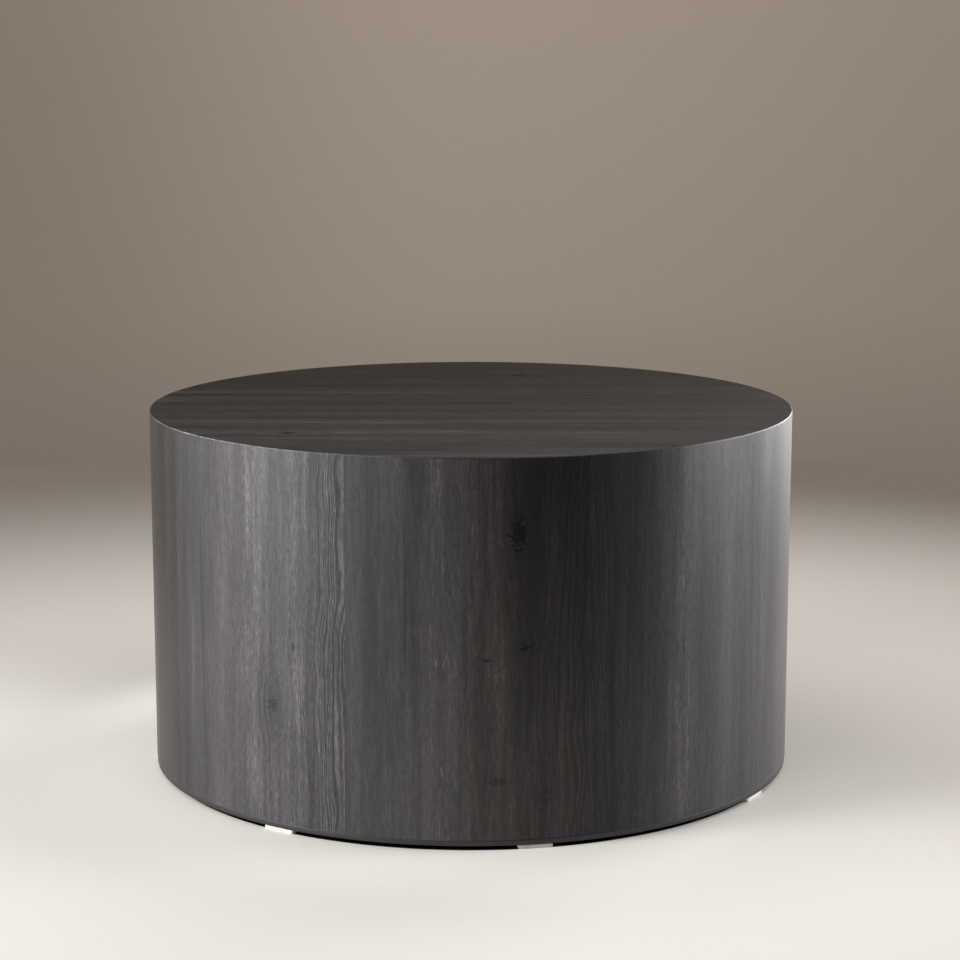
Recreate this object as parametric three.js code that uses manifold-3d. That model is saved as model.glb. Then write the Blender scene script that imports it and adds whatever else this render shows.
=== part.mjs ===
// Round drum coffee table: black-stained oak veneer over a hollow wooden drum.
// Millimetres, +Z up. The origin is on the floor under the middle of the table, and its front faces -Y.

import * as THREE from "three";
import { mergeVertices } from "three/addons/utils/BufferGeometryUtils.js";
import Module from "manifold-3d";

const wasm = await Module();
wasm.setup();

// The whole table
const tableDiameter = 800;
const tableHeight = 450;

// Fits that all pieces share
const fitGap = 0.3; // between a piece and the round, hole or groove that it sits in
const cutOverrun = 2; // how far a cutter runs past the face that it opens
const roundSegments = 96; // flats on every large round
const smallSegments = 12; // flats on dowels, screws and their holes

// Veneer leaves, pressed on last: the side first, then the top over the side's trimmed edge
const veneerThickness = 1;
const sandedArris = 0.5; // sanded edge round the top
const veneerSeamDegrees = -0.7; // where the left and right side sheets meet, from the front centre

// Top panel of medium-density fibreboard
const topPanelThickness = 22;

// Bent plywood shell in two halves, which meet at the sides on a loose tongue
const shellThickness = 15;
const tongueThicknessShare = 1 / 3; // of the shell's thickness
const tongueWidth = 20;

// Plywood formers that hold the shell round
const formerThickness = 18;
const formerLip = 30; // how far the formers reach in past the studs

// Softwood studs between the formers
const studCount = 8;
const firstStudDegrees = 11.5; // from the front centre, towards the right
const studWidth = 45;
const studDepth = 30;

// Beech dowels at both ends of each stud
const dowelDiameter = 8;
const woodPastDowel = 4; // left in the former beyond the dowel's end
const dowelInStud = 16;

// Thin base ring, stained black, that closes the drum's rim underneath
const baseRingThickness = 6.5;
const baseRingSetback = 0.4; // how far its edge lies behind the veneer
const baseRingArris = 1;

// Felt glides, stuck on by hand under the base ring, so their spacing wanders by a few degrees. The one
// at the left lies further back than its stud, because no glide shows at the left end of the rim
const glideHeight = 5;
const glideWidth = 40;
const glideDepth = 30;
const glideCornerRadius = 2;
const glideDriftDegrees = [-0.9, 2.7, -1.2, 0.8, 1.4, -0.6, -8.5, -0.6];

// Countersunk wood screws with a cross recess
const topScrew = { through: formerThickness, bite: 12, shank: 4, head: 8 };
const baseScrew = { through: baseRingThickness, bite: 10.5, shank: 3.5, head: 7 };
const screwHeadRim = 0.4; // straight edge round the head
const screwTipLength = 4;
const recessWidth = 1.1;
const recessShare = 0.55; // span of the cross, as a share of the head's diameter
const recessDepth = 1.6;

const finishes = {
  blackOak: new THREE.MeshStandardMaterial({ color: 0x3a3938, roughness: 0.45, metalness: 0 }),
  blackStain: new THREE.MeshStandardMaterial({ color: 0x2b2a29, roughness: 0.6, metalness: 0 }),
  fibreboard: new THREE.MeshStandardMaterial({ color: 0xa07a52, roughness: 0.9, metalness: 0 }),
  plywood: new THREE.MeshStandardMaterial({ color: 0xc8a878, roughness: 0.8, metalness: 0 }),
  softwood: new THREE.MeshStandardMaterial({ color: 0xd9bc8c, roughness: 0.8, metalness: 0 }),
  beech: new THREE.MeshStandardMaterial({ color: 0xcfa57a, roughness: 0.7, metalness: 0 }),
  felt: new THREE.MeshStandardMaterial({ color: 0xeeede9, roughness: 1, metalness: 0 }),
  zinc: new THREE.MeshStandardMaterial({ color: 0xb9bcbe, roughness: 0.4, metalness: 1 }),
};

// Radii, from the outside in
const tableRadius = tableDiameter / 2;
const veneerInner = tableRadius - veneerThickness;
const coreRadius = radiusInside(veneerInner);
const shellInner = coreRadius - shellThickness;
const formerRadius = radiusInside(shellInner);
const studRadius = flatInside(formerRadius, studWidth) - studDepth / 2;
const formerInner = studRadius - studDepth / 2 - formerLip;
const formerMiddle = (formerRadius + formerInner) / 2;
const baseRingRadius = tableRadius - baseRingSetback;

// Sizes that follow the boards
const topArris = Math.min(sandedArris, veneerThickness / 2);
const tongueThickness = shellThickness * tongueThicknessShare;
const dowelInFormer = formerThickness - woodPastDowel;

// Heights, from the floor up
const baseRingTop = glideHeight + baseRingThickness;
const lowerFormerTop = baseRingTop + formerThickness;
const panelTop = tableHeight - veneerThickness;
const panelBottom = panelTop - topPanelThickness;
const upperFormerBottom = panelBottom - formerThickness;
const studLength = upperFormerBottom - lowerFormerTop - 2 * fitGap;
const shellHeight = panelBottom - baseRingTop;
const tongueLength = shellHeight - 2 * fitGap;

// Angles from the front centre of the studs, of the screws half-way between them, and of the glides
const pitchDegrees = 360 / studCount;
const studDegrees = Array.from({ length: studCount }, (_, i) => firstStudDegrees + i * pitchDegrees);
const screwDegrees = studDegrees.map((degrees) => degrees + pitchDegrees / 2);
const glideDegrees = studDegrees.map(
  (degrees, i) => degrees + glideDriftDegrees[i % glideDriftDegrees.length],
);

// The largest radius that fits inside a round hole made of flats, whichever way the two are turned.
function radiusInside(holeRadius) {
  return holeRadius * Math.cos(Math.PI / roundSegments) - fitGap;
}

// The distance from the middle to the flat side of a block whose two outer corners touch a circle.
function flatInside(radius, width) {
  return Math.sqrt(radius ** 2 - (width / 2) ** 2);
}

function turnFromFront(degrees) {
  return THREE.MathUtils.degToRad(degrees - 90);
}

// A solid of revolution about Z from an outline of [radius, height] points.
function revolve(outline, segments) {
  const points = outline.map(([radius, height]) => new THREE.Vector2(radius, height));
  return new THREE.LatheGeometry(points, segments).rotateX(Math.PI / 2);
}

function ring(inner, outer, bottom, top) {
  const outline = [[inner, bottom], [outer, bottom], [outer, top], [inner, top], [inner, bottom]];
  return revolve(outline, roundSegments);
}

function box(width, depth, height) {
  return new THREE.BoxGeometry(width, depth, height);
}

// Moves a geometry out to a radius and height, then turns it to its angle from the front.
function place(geometry, degrees, radius, height) {
  return geometry.clone().translate(radius, 0, height).rotateZ(turnFromFront(degrees));
}

function solidOf(geometry) {
  const bare = geometry.clone();
  bare.deleteAttribute("normal");
  bare.deleteAttribute("uv");
  const merged = mergeVertices(bare);
  const vertProperties = merged.attributes.position.array;
  const triVerts = new Uint32Array(merged.index.array);
  return new wasm.Manifold(new wasm.Mesh({ numProp: 3, vertProperties, triVerts }));
}

function geometryOf(solid) {
  const { vertProperties, triVerts } = solid.getMesh();
  const geometry = new THREE.BufferGeometry();
  geometry.setAttribute("position", new THREE.BufferAttribute(vertProperties, 3));
  geometry.setIndex(new THREE.BufferAttribute(triVerts, 1));
  const faceted = geometry.toNonIndexed();
  faceted.computeVertexNormals();
  return faceted;
}

function cut(geometry, cutters) {
  const tools = cutters.map(solidOf);
  return geometryOf(tools.reduce((solid, tool) => solid.subtract(tool), solidOf(geometry)));
}

function piece(name, geometry, finish) {
  const mesh = new THREE.Mesh(geometry, finish);
  mesh.name = name;
  return mesh;
}

// A piece that stands at a radius and height, at its angle from the front.
function placedPiece(name, geometry, finish, degrees, radius, height) {
  const mesh = piece(name, geometry, finish);
  mesh.position.set(radius, 0, height);
  const turned = new THREE.Group();
  turned.rotation.z = turnFromFront(degrees);
  turned.add(mesh);
  return turned;
}

// One half of a ring, on the side of the seam plane that faces the given angle.
function halfRing(whole, outer, facingDegrees, otherCutters = []) {
  const reach = outer + cutOverrun;
  const slab = box(reach, 2 * reach, 2 * (tableHeight + cutOverrun));
  const otherSide = place(slab, facingDegrees, (fitGap - reach) / 2, 0);
  return cut(whole, [otherSide, ...otherCutters]);
}

// Screws point up, with the flat of the head at height 0.
function screwOutline(screw, grow, below) {
  const tip = screw.through + screw.bite;
  const headRadius = screw.head / 2 + grow;
  const shankRadius = screw.shank / 2 + grow;
  const coneEnd = screwHeadRim + (headRadius - shankRadius);
  return [
    [0, -below],
    [headRadius, -below],
    [headRadius, screwHeadRim],
    [shankRadius, coneEnd],
    [shankRadius, tip - screwTipLength],
    [0, tip + grow],
  ];
}

function screwGeometry(screw) {
  const span = screw.head * recessShare;
  const recess = [box(span, recessWidth, 2 * recessDepth), box(recessWidth, span, 2 * recessDepth)];
  return cut(revolve(screwOutline(screw, 0, 0), smallSegments), recess);
}

function screwHole(screw) {
  return revolve(screwOutline(screw, fitGap, cutOverrun), smallSegments);
}

function dowelGeometry(grow) {
  const radius = dowelDiameter / 2 + grow;
  const outline = [
    [0, -dowelInFormer - grow],
    [radius, -dowelInFormer - grow],
    [radius, dowelInStud + grow],
    [0, dowelInStud + grow],
  ];
  return revolve(outline, smallSegments);
}

// The same dowel turned over, for the upper end of a stud.
function turnedOver(geometry) {
  return geometry.clone().rotateX(Math.PI);
}

function roundedBlock(width, depth, height, cornerRadius) {
  const [x, y, r] = [width / 2, depth / 2, cornerRadius];
  const outline = new THREE.Shape();
  outline.absarc(x - r, y - r, r, 0, Math.PI / 2);
  outline.absarc(r - x, y - r, r, Math.PI / 2, Math.PI);
  outline.absarc(r - x, r - y, r, Math.PI, 1.5 * Math.PI);
  outline.absarc(x - r, r - y, r, 1.5 * Math.PI, 2 * Math.PI);
  return new THREE.ExtrudeGeometry(outline, { depth: height, bevelEnabled: false, curveSegments: 2 });
}

// The side and top veneer, the only wood that shows.
function veneers() {
  const group = new THREE.Group();
  const topOutline = [
    [0, panelTop],
    [tableRadius, panelTop],
    [tableRadius, tableHeight - topArris],
    [tableRadius - topArris, tableHeight],
    [0, tableHeight],
  ];
  group.add(piece("top_veneer", revolve(topOutline, roundSegments), finishes.blackOak));
  const wrap = ring(veneerInner, tableRadius, baseRingTop, panelTop);
  for (const [name, facing] of [["side_veneer_right", 90], ["side_veneer_left", -90]]) {
    const half = halfRing(wrap, tableRadius, facing + veneerSeamDegrees);
    group.add(piece(name, half, finishes.blackOak));
  }
  return group;
}

// The shell's front and back halves, and the loose tongue in each of their two joints.
function shell() {
  const group = new THREE.Group();
  const middle = (coreRadius + shellInner) / 2;
  const groove = box(
    tongueThickness + 2 * fitGap,
    tongueWidth + 2 * fitGap,
    2 * (tableHeight + cutOverrun),
  );
  const grooves = [90, -90].map((degrees) => place(groove, degrees, middle, 0));
  const whole = ring(shellInner, coreRadius, baseRingTop, panelBottom);
  for (const [name, facing] of [["shell_front", 0], ["shell_back", 180]]) {
    group.add(piece(name, halfRing(whole, coreRadius, facing, grooves), finishes.plywood));
  }
  const tongue = box(tongueThickness, tongueWidth, tongueLength);
  const tongueCentre = baseRingTop + shellHeight / 2;
  for (const [name, degrees] of [["shell_tongue_right", 90], ["shell_tongue_left", -90]]) {
    group.add(placedPiece(name, tongue, finishes.plywood, degrees, middle, tongueCentre));
  }
  return group;
}

// The top panel with the holes that its screws cut.
function topPanel() {
  const holes = screwDegrees.map((degrees) =>
    place(screwHole(topScrew), degrees, formerMiddle, upperFormerBottom),
  );
  const outline = [[0, panelBottom], [coreRadius, panelBottom], [coreRadius, panelTop], [0, panelTop]];
  return piece("top_panel", cut(revolve(outline, roundSegments), holes), finishes.fibreboard);
}

// Studs, the two formers that they stand between, and the dowels that locate them.
function frame() {
  const group = new THREE.Group();
  const lowerDowelHoles = studDegrees.map((degrees) =>
    place(dowelGeometry(fitGap), degrees, studRadius, lowerFormerTop),
  );
  const upperDowelHoles = studDegrees.map((degrees) =>
    place(turnedOver(dowelGeometry(fitGap)), degrees, studRadius, upperFormerBottom),
  );
  const topScrewHoles = screwDegrees.map((degrees) =>
    place(screwHole(topScrew), degrees, formerMiddle, upperFormerBottom),
  );
  const baseScrewHoles = screwDegrees.map((degrees) =>
    place(screwHole(baseScrew), degrees, formerMiddle, glideHeight),
  );
  const upper = ring(formerInner, formerRadius, upperFormerBottom, panelBottom);
  const lower = ring(formerInner, formerRadius, baseRingTop, lowerFormerTop);
  group.add(piece("upper_former", cut(upper, [...upperDowelHoles, ...topScrewHoles]), finishes.plywood));
  group.add(piece("lower_former", cut(lower, [...lowerDowelHoles, ...baseScrewHoles]), finishes.plywood));
  const bored = cut(box(studDepth, studWidth, studLength), [
    dowelGeometry(fitGap).translate(0, 0, -studLength / 2 - fitGap),
    turnedOver(dowelGeometry(fitGap)).translate(0, 0, studLength / 2 + fitGap),
  ]);
  const lowerDowel = dowelGeometry(0);
  const upperDowel = turnedOver(lowerDowel);
  const studCentre = (lowerFormerTop + upperFormerBottom) / 2;
  studDegrees.forEach((degrees, i) => {
    const number = i + 1;
    const add = (name, geometry, finish, height) =>
      group.add(placedPiece(`${name}_${number}`, geometry, finish, degrees, studRadius, height));
    add("stud", bored, finishes.softwood, studCentre);
    add("lower_dowel", lowerDowel, finishes.beech, lowerFormerTop);
    add("upper_dowel", upperDowel, finishes.beech, upperFormerBottom);
  });
  return group;
}

// Screws up through the upper former into the top panel, and through the base ring into the lower former.
function screws() {
  const group = new THREE.Group();
  screwDegrees.forEach((degrees, i) => {
    const add = (name, screw, height) =>
      group.add(
        placedPiece(`${name}_${i + 1}`, screwGeometry(screw), finishes.zinc, degrees, formerMiddle, height),
      );
    add("top_screw", topScrew, upperFormerBottom);
    add("base_screw", baseScrew, glideHeight);
  });
  return group;
}

// The base ring under the drum, and the felt glides under the base ring.
function base() {
  const group = new THREE.Group();
  const outline = [
    [formerInner, glideHeight],
    [baseRingRadius - baseRingArris, glideHeight],
    [baseRingRadius, glideHeight + baseRingArris],
    [baseRingRadius, baseRingTop],
    [formerInner, baseRingTop],
    [formerInner, glideHeight],
  ];
  const holes = screwDegrees.map((degrees) =>
    place(screwHole(baseScrew), degrees, formerMiddle, glideHeight),
  );
  group.add(piece("base_ring", cut(revolve(outline, roundSegments), holes), finishes.blackStain));
  const edge = radiusInside(baseRingRadius);
  const glideRadius = flatInside(edge, glideWidth) - glideDepth / 2;
  const glide = roundedBlock(glideDepth, glideWidth, glideHeight - fitGap, glideCornerRadius);
  glideDegrees.forEach((degrees, i) => {
    group.add(placedPiece(`glide_${i + 1}`, glide, finishes.felt, degrees, glideRadius, 0));
  });
  return group;
}

const coffeeTable = new THREE.Group();
coffeeTable.add(veneers(), topPanel(), shell(), frame(), screws(), base());

export default coffeeTable;
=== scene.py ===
# %% [markdown]
# # A round coffee table in black-stained oak
# The table is a hollow drum. A round wall of bent plywood stands on a thin ring, and a panel closes
# it at the top. Oak veneer covers the top and the wall, and felt glides at the rim hold it off the
# floor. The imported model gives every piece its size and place. This script makes the pieces that
# show in their smooth form, and gives every piece its finish.

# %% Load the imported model
import math

import bmesh
import bpy
from mathutils import Matrix, Vector, noise


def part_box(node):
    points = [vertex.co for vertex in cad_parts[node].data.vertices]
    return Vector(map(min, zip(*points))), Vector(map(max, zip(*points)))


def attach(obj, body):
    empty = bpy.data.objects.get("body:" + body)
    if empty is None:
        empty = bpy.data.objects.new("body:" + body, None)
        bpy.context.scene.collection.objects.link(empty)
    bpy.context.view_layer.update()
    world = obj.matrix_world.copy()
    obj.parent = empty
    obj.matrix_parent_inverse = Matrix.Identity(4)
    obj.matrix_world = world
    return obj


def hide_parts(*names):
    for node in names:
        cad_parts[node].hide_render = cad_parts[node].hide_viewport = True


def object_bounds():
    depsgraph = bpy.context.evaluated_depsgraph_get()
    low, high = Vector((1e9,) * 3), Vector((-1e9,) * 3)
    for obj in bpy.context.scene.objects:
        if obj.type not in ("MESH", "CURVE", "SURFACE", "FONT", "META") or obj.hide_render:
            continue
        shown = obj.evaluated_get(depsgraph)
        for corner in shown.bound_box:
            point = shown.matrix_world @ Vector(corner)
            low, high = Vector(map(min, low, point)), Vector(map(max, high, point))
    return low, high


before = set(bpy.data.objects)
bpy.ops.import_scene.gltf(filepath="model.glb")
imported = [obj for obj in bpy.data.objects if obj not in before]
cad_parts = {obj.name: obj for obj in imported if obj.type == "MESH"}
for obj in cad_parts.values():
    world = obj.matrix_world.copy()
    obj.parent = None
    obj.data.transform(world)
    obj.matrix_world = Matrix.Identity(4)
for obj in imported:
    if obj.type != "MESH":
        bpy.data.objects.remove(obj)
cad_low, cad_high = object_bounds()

print("nodes:", len(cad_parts), "size:", [round(side, 4) for side in cad_high - cad_low])

# %% [markdown]
# ## The camera
# A long lens stands about three metres back and a little above the table, so the sides look nearly
# upright and the top is a flat oval. The values come from fitting the outline of the drum. The
# camera has no shift, because a shift would also move every other view.

# %% Camera
CAMERA_BACK = 3.117
CAMERA_HEIGHT = 0.919
CAMERA_DOWN_DEGREES = 10.29
CAMERA_TO_RIGHT_DEGREES = 0.208
CAMERA_LENS_MM = 94.2
SENSOR_MM = 36

camera_data = bpy.data.cameras.new("table_camera")
camera_data.lens = CAMERA_LENS_MM
camera_data.sensor_width = SENSOR_MM
camera = bpy.data.objects.new("table_camera", camera_data)
camera.location = (0, -CAMERA_BACK, CAMERA_HEIGHT)
camera.rotation_euler = (
    math.radians(90 - CAMERA_DOWN_DEGREES),
    0,
    -math.radians(CAMERA_TO_RIGHT_DEGREES),
)
bpy.context.scene.collection.objects.link(camera)
bpy.context.scene.camera = camera
bpy.context.scene.view_settings.view_transform = "Standard"
print("camera:", [round(c, 3) for c in camera.location], "lens:", CAMERA_LENS_MM, "mm")

# %% [markdown]
# ## Small helpers
# Colours are written as hex values, the way a picture editor shows them, and turned to the linear
# values that shaders want. Materials are built from nodes, and one helper adds a node with its
# settings and links and hands back the socket that the next node reads.

# %% Helpers for colours and nodes
COLOUR_MIX = {"out": 2, "data_type": "RGBA"}  # then a Mix node reads its colours at 6 and 7


def millimetres(value):
    return value / 1000


def linear(hex_colour):
    """Turns a colour such as "#3a3938" to linear red, green, blue and alpha."""
    channels = [int(hex_colour[i : i + 2], 16) / 255 for i in (1, 3, 5)]
    return [c / 12.92 if c <= 0.04045 else ((c + 0.055) / 1.055) ** 2.4 for c in channels] + [1]


def add(tree, kind, inputs=(), out=0, stops=(), **settings):
    """Adds a node with its settings, its inputs (values or sockets) and a colour ramp's stops.
    It gives back one of the node's outputs, or the node itself where it has none."""
    node = tree.nodes.new(kind)
    for name, value in settings.items():
        setattr(node, name, value)
    for name, value in dict(inputs).items():
        if isinstance(value, bpy.types.NodeSocket):
            tree.links.new(value, node.inputs[name])
        else:
            node.inputs[name].default_value = value
    for i, (position, colour) in enumerate(stops):
        stop = node.color_ramp.elements[i] if i < 2 else node.color_ramp.elements.new(position)
        stop.position = position
        stop.color = linear(colour)
    return node.outputs[out] if len(node.outputs) else node


def empty_material(name):
    """Makes a material with no nodes and gives it with its node tree."""
    material = bpy.data.materials.new(name)
    material.use_nodes = True
    material.node_tree.nodes.clear()
    return material, material.node_tree


# %% [markdown]
# ## Floor and backdrop
# The floor is a pale disc that fades into the backdrop's colour, so no hard horizon cuts the
# picture. Its paper carries painted light and shade: it is paler in front and close to the table,
# as a painted pool of light, darker behind the table and to its right, as painted shade, and nearly
# black right under the table, a painted shadow that makes the gap below its rim read as a clean dark
# line. The backdrop is the world's colour, a warm grey that is darkest where the floor ends and
# towards both sides. Only the camera and reflections see it, and a weak, even light comes from all
# round instead. High above it turns dark, as a studio's ceiling does, which keeps the table's top
# from shining. In reflections the studio in front of the table is dark too, as if a black cloth hung
# behind the camera. That keeps the lacquer at the front black instead of grey.

# %% Helper for smooth steps
def stepped(tree, start, steps):
    """Multiplies a start by smooth steps, each a value and the numbers at which it is 0 and 1."""
    total = start
    for value, first, last in steps:
        total = add(
            tree,
            "ShaderNodeMapRange",
            {"Value": value, "From Min": first, "From Max": last, "To Max": total},
            interpolation_type="SMOOTHSTEP",
        )
    return total


# %% Backdrop
FLOOR_END_COLOUR = "#7b7167"
LOWEST_SLOPE = -0.168
HIGHEST_SLOPE = 0.25
# Colours from the end of the floor up to the ceiling, in the middle and at the sides.
MIDDLE_STOPS = [
    (0, "#7f756b"), (0.14, "#938879"), (0.33, "#9a8e80"), (0.42, "#9d9082"), (1, "#3b3733")
]
SIDE_STOPS = [
    (0, "#786e65"), (0.14, "#7e7467"), (0.33, "#81766a"), (0.42, "#83786c"), (1, "#3b3733")
]
LEFT_SIDE = -0.21
RIGHT_SIDE = 0.3
RIGHT_SHARE = 0.7
AMBIENT_COLOUR = "#ffffff"
AMBIENT_STRENGTH = 0.35
DARK_COLOUR = "#312a28"
DARK_HEADINGS = (-0.3, -0.8)  # where the dark end starts and where it is full, by direction
DARK_FLOOR = (-0.6, -1.9)  # the same on the floor, in metres


def background_rays(tree):
    """Is 1 for rays that see the background: the camera's, reflected ones and those in glass."""
    rays = add(tree, "ShaderNodeLightPath").node.outputs
    seen = rays["Is Camera Ray"]
    for kind in ("Is Glossy Ray", "Is Transmission Ray"):
        seen = add(tree, "ShaderNodeMath", {0: seen, 1: rays[kind]}, operation="MAXIMUM")
    return seen


def dark_side(tree, vector, limits):
    """Is 1 for reflected rays that reach the dark end of the studio, in front of the table."""
    reflected = add(tree, "ShaderNodeLightPath").node.outputs["Is Glossy Ray"]
    forward = add(tree, "ShaderNodeSeparateXYZ", {"Vector": vector}, out="Y")
    return stepped(tree, reflected, [(forward, *limits)])


world = bpy.data.worlds.new("plain_backdrop")
world.use_nodes = True
sky = world.node_tree
sky.nodes.clear()
direction = add(sky, "ShaderNodeTexCoord", out="Generated")
slopes = add(sky, "ShaderNodeSeparateXYZ", {"Vector": direction}).node.outputs
height = add(
    sky,
    "ShaderNodeMapRange",
    {"Value": slopes["Z"], "From Min": LOWEST_SLOPE, "From Max": HIGHEST_SLOPE},
)
sideways = 0
for end, share in ((LEFT_SIDE, 1), (RIGHT_SIDE, RIGHT_SHARE)):
    step = stepped(sky, share, [(slopes["X"], 0, end)])
    sideways = add(sky, "ShaderNodeMath", {0: step, 1: sideways}, operation="MAXIMUM")
middle_colour, side_colour = (
    add(sky, "ShaderNodeValToRGB", {"Fac": height}, stops=stops)
    for stops in (MIDDLE_STOPS, SIDE_STOPS)
)
wall_colour = add(
    sky, "ShaderNodeMix", {0: sideways, 6: middle_colour, 7: side_colour}, **COLOUR_MIX
)
even_light = add(
    sky, "ShaderNodeBackground", {"Color": linear(AMBIENT_COLOUR), "Strength": AMBIENT_STRENGTH}
)
wall_colour = add(
    sky,
    "ShaderNodeMix",
    {0: dark_side(sky, direction, DARK_HEADINGS), 6: wall_colour, 7: linear(DARK_COLOUR)},
    **COLOUR_MIX,
)
backdrop = add(sky, "ShaderNodeBackground", {"Color": wall_colour, "Strength": 1})
mixed = add(sky, "ShaderNodeMixShader", {0: background_rays(sky), 1: even_light, 2: backdrop})
add(sky, "ShaderNodeOutputWorld", {"Surface": mixed})
bpy.context.scene.world = world
print("backdrop:", FLOOR_END_COLOUR, "to", MIDDLE_STOPS[2][1], "ambient:", AMBIENT_STRENGTH)

# %% Floor
FLOOR_COLOUR = "#ece7e0"
FLOOR_PAINTED_SHADE_COLOUR = "#c8c2bb"
FLOOR_PAINTED_LIGHT_COLOUR = "#fffaf2"
FLOOR_PAINTED_SHADOW_COLOUR = "#161514"
SHADE_TURN = 0.48  # how much further the right side counts as behind in the painted shade, per metre
SHADE_STARTS = -0.35
SHADE_FULL = 0.3
NEAR_FROM = 0.62
NEAR_TO = 0.42
NEAR_LEFT = (0.4, 0.05)  # the painted light close to the table ends between these places on the right
UNDER_TO = 0.398
UNDER_NARROW = (1.02, 1, 1)  # more light gets in under the rim from the sides than from the front
FADE_MIDDLE = (-0.2, -0.1, 0)
FLOOR_RADIUS = 2.3
FLOOR_SIDES = 128
FADE_STARTS = 0.75
FADE_ENDS = 2.25

floor_material, tree = empty_material("pale_studio_floor")
place = add(tree, "ShaderNodeTexCoord", out="Object")
distance = add(tree, "ShaderNodeVectorMath", {0: place}, out="Value", operation="LENGTH")
away = add(
    tree, "ShaderNodeVectorMath", {0: place, 1: FADE_MIDDLE}, out="Value", operation="DISTANCE"
)
fade = stepped(tree, 1, [(away, FADE_STARTS, FADE_ENDS)])
floor_place = add(tree, "ShaderNodeSeparateXYZ", {"Vector": place}).node.outputs
# Painted shade: the paper is darker behind the table and towards its right.
turned = add(
    tree,
    "ShaderNodeMath",
    {0: floor_place["X"], 1: SHADE_TURN, 2: floor_place["Y"]},
    operation="MULTIPLY_ADD",
)
behind = stepped(tree, 1, [(turned, SHADE_STARTS, SHADE_FULL)])
# A painted pool of light: paler paper close to the table, except on its right.
painted_light_near = stepped(tree, 1, [(distance, NEAR_FROM, NEAR_TO), (floor_place["X"], *NEAR_LEFT)])
# A painted shadow: the paper is nearly black right under the table.
widened = add(tree, "ShaderNodeVectorMath", {0: place, 1: UNDER_NARROW}, operation="MULTIPLY")
painted_shadow_under = add(tree, "ShaderNodeVectorMath", {0: widened}, out="Value", operation="LENGTH")
painted_shadow_under = add(tree, "ShaderNodeMath", {0: painted_shadow_under, 1: UNDER_TO}, operation="LESS_THAN")
colour = linear(FLOOR_COLOUR)
for share, other in (
    (behind, FLOOR_PAINTED_SHADE_COLOUR),
    (painted_light_near, FLOOR_PAINTED_LIGHT_COLOUR),
    (painted_shadow_under, FLOOR_PAINTED_SHADOW_COLOUR),
):
    colour = add(tree, "ShaderNodeMix", {0: share, 6: colour, 7: linear(other)}, **COLOUR_MIX)
paper = add(tree, "ShaderNodeBsdfDiffuse", {"Color": colour})
far = add(tree, "ShaderNodeEmission", {"Color": linear(FLOOR_END_COLOUR), "Strength": 1})
surface = add(tree, "ShaderNodeMixShader", {0: fade, 1: paper, 2: far})
dark = add(tree, "ShaderNodeEmission", {"Color": linear(DARK_COLOUR), "Strength": 1})
surface = add(
    tree, "ShaderNodeMixShader", {0: dark_side(tree, place, DARK_FLOOR), 1: surface, 2: dark}
)
add(tree, "ShaderNodeOutputMaterial", {"Surface": surface})

disc = bmesh.new()
bmesh.ops.create_circle(disc, cap_ends=True, radius=FLOOR_RADIUS, segments=FLOOR_SIDES)
floor_mesh = bpy.data.meshes.new("studio_floor")
disc.to_mesh(floor_mesh)
disc.free()
floor_mesh.materials.append(floor_material)
floor = bpy.data.objects.new("studio_floor", floor_mesh)
bpy.context.scene.collection.objects.link(floor)
print("floor:", FLOOR_COLOUR, "radius:", FLOOR_RADIUS)

# %% [markdown]
# ## Lamps
# Soft boxes that stand round the table give the drum its form. The strong one on the left lays a
# broad bright band on the lacquer, and two on the right, beside and behind the table, make a band
# that grows towards the edge. The front between them stays dark. A weak one near the front softens
# the left band, and a weak one behind it keeps the left edge grey. Each is placed by its turn round
# the table from the front. A weak one hangs above and lights the floor and the top. No lamp shows
# itself to the camera.

# %% Soft boxes
SOFT_BOX_AWAY = 3.2
SOFT_BOX_MIDDLE = 0.85
SOFT_BOX_TALL = 1.6
SOFT_BOX_AIM = Vector((0, 0, 0.3))
TOP_BOX_HEIGHT = 2.6
TOP_BOX_SIDE = 2.4


def soft_box(name, place, width, tall, radiance):
    """Puts an area lamp at a place, facing the table. Its power follows from how bright it is."""
    lamp_data = bpy.data.lights.new(name, "AREA")
    lamp_data.shape = "RECTANGLE"
    lamp_data.size = width
    lamp_data.size_y = tall
    lamp_data.energy = radiance * math.pi * width * tall
    lamp = bpy.data.objects.new(name, lamp_data)
    lamp.location = place
    lamp.rotation_euler = (SOFT_BOX_AIM - lamp.location).to_track_quat("-Z", "Y").to_euler()
    lamp.visible_camera = False
    bpy.context.scene.collection.objects.link(lamp)
    print(name, "at", [round(c, 2) for c in place], "radiance", radiance)


for name, degrees, width, radiance in (
    ("left_front_soft_box", -30, 1.2, 2.5),
    ("left_soft_box", -63, 1.1, 18.0),
    ("left_back_soft_box", -105, 1.45, 3.2),
    ("right_soft_box", 88, 1.3, 10.0),
    ("right_back_soft_box", 135, 1.5, 12.5),
):
    turn = math.radians(degrees)
    place = (SOFT_BOX_AWAY * math.sin(turn), -SOFT_BOX_AWAY * math.cos(turn), SOFT_BOX_MIDDLE)
    soft_box(name, place, width, SOFT_BOX_TALL, radiance)
soft_box("top_soft_box", (0, 0, TOP_BOX_HEIGHT), TOP_BOX_SIDE, TOP_BOX_SIDE, 0.65)

# %% [markdown]
# ## The oak veneer
# A veneer maker slices a log into leaves and lays them side by side. A leaf cut near the middle of
# the log shows tall arches, and one cut towards the bark shows straight lines, because each growth
# ring is a tube round the pith and the slice cuts through it. So the shader works the same way: it
# takes each point's distance from a pith that lies some way behind the veneer, and counts rings. An
# image would repeat and stretch round the drum; this never does. Every leaf differs, so its cut and
# its stain are stored on its faces as attributes.

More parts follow.
